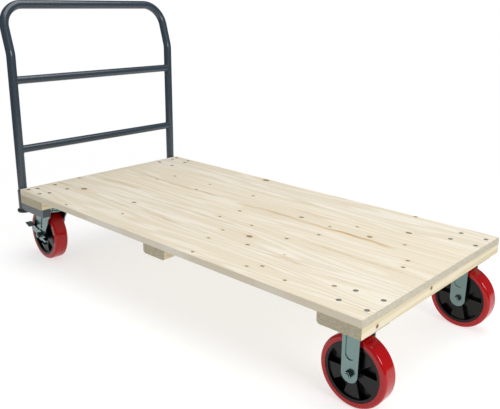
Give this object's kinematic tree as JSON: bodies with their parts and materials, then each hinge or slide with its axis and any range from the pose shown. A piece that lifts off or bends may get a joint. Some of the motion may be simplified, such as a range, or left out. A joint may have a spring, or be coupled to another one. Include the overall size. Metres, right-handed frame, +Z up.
{
  "type": "platform_cart",
  "caption": "Wooden platform cart with a lift-out steel tube push handle, rigid casters at the front and braked swivel casters at the handle end.",
  "frame": {"origin": "middle of the cart's overall box, on the floor", "axes": "+X towards the front end with the rigid casters, away from the handle; +Y to the cart's right-hand side as listed in the node names (left is -Y); +Z up"},
  "size_m": [1.6458, 0.7714, 0.9669],
  "materials": {
    "deck_pine": "planed pale pine, clear finish",
    "cleat_pine": "planed yellower pine",
    "blue_enamel": "glossy slate blue enamel",
    "cap_rubber": "matt black",
    "red_tread": "glossy red polyurethane",
    "black_core": "moulded black nylon",
    "bearing_steel": "machined",
    "bolt_steel": "dull grey",
    "ball_steel": "polished",
    "lever_zinc": "bright zinc plated",
    "zinc_plate": "bright zinc plated"
  },
  "bodies": {
    "deck": {"deck_board_1": "deck_pine", "deck_board_2": "deck_pine", "deck_board_3": "deck_pine", "deck_board_4": "deck_pine", "deck_board_5": "deck_pine", "front_cleat": "cleat_pine", "middle_cleat": "cleat_pine", "rear_cleat": "cleat_pine", "cleat_screws": "zinc_plate", "caster_bolts": "bolt_steel", "caster_washers": "zinc_plate", "caster_nuts": "zinc_plate", "handle_bracket_left": "blue_enamel", "handle_bracket_right": "blue_enamel", "bracket_caps": "cap_rubber", "bracket_bolts": "bolt_steel", "bracket_nuts": "zinc_plate", "rigid_plate_left": "zinc_plate", "rigid_plate_right": "zinc_plate", "rigid_fork_left": "zinc_plate", "rigid_fork_right": "zinc_plate", "front_axle_bolts": "zinc_plate", "front_axle_nuts": "zinc_plate", "front_axle_sleeves": "zinc_plate", "swivel_plate_left": "zinc_plate", "swivel_plate_right": "zinc_plate", "kingpins": "zinc_plate", "kingpin_nuts": "zinc_plate", "swivel_balls": "ball_steel"},
    "handle": {"handle_tube": "blue_enamel", "upper_crossbar": "blue_enamel", "lower_crossbar": "blue_enamel"},
    "swivel_left": {"swivel_fork_left": "zinc_plate", "rear_axle_bolt_left": "zinc_plate", "rear_axle_nut_left": "zinc_plate", "rear_axle_sleeve_left": "zinc_plate"},
    "brake_left": {"brake_lever_left": "lever_zinc"},
    "wheel_front_left": {"front_tread_left": "red_tread", "front_core_left": "black_core", "front_bearing_left": "bearing_steel"},
    "wheel_rear_left": {"rear_tread_left": "red_tread", "rear_core_left": "black_core", "rear_bearing_left": "bearing_steel"},
    "swivel_right": {"swivel_fork_right": "zinc_plate", "rear_axle_bolt_right": "zinc_plate", "rear_axle_nut_right": "zinc_plate", "rear_axle_sleeve_right": "zinc_plate"},
    "brake_right": {"brake_lever_right": "lever_zinc"},
    "wheel_front_right": {"front_tread_right": "red_tread", "front_core_right": "black_core", "front_bearing_right": "bearing_steel"},
    "wheel_rear_right": {"rear_tread_right": "red_tread", "rear_core_right": "black_core", "rear_bearing_right": "bearing_steel"}
  },
  "joints": [
    {"name": "handle_lift", "type": "slide", "parent": "deck", "child": "handle", "axis": [0, 0, 1], "range_m": [0, 0.075]},
    {"name": "swivel_turn_left", "type": "hinge", "parent": "deck", "child": "swivel_left", "pos_m": [-0.66306, -0.293, 0.2], "axis": [0, 0, 1], "continuous": true},
    {"name": "front_wheel_spin_left", "type": "hinge", "parent": "deck", "child": "wheel_front_left", "pos_m": [0.72394, -0.293, 0.099], "axis": [0, 1, 0], "continuous": true},
    {"name": "rear_wheel_spin_left", "type": "hinge", "parent": "swivel_left", "child": "wheel_rear_left", "pos_m": [-0.71297, -0.28995, 0.099], "axis": [0.061, 0.9981, 0], "continuous": true},
    {"name": "brake_press_left", "type": "hinge", "parent": "swivel_left", "child": "brake_left", "pos_m": [-0.71297, -0.28995, 0.099], "axis": [0.061, 0.9981, 0], "range_deg": [-30, 0]},
    {"name": "swivel_turn_right", "type": "hinge", "parent": "deck", "child": "swivel_right", "pos_m": [-0.66306, 0.293, 0.2], "axis": [0, 0, 1], "continuous": true},
    {"name": "front_wheel_spin_right", "type": "hinge", "parent": "deck", "child": "wheel_front_right", "pos_m": [0.72394, 0.293, 0.099], "axis": [0, 1, 0], "continuous": true},
    {"name": "rear_wheel_spin_right", "type": "hinge", "parent": "swivel_right", "child": "wheel_rear_right", "pos_m": [-0.71297, 0.29605, 0.099], "axis": [0.061, 0.9981, 0], "continuous": true},
    {"name": "brake_press_right", "type": "hinge", "parent": "swivel_right", "child": "brake_right", "pos_m": [-0.71297, 0.29605, 0.099], "axis": [0.061, 0.9981, 0], "range_deg": [-30, 0]}
  ]
}
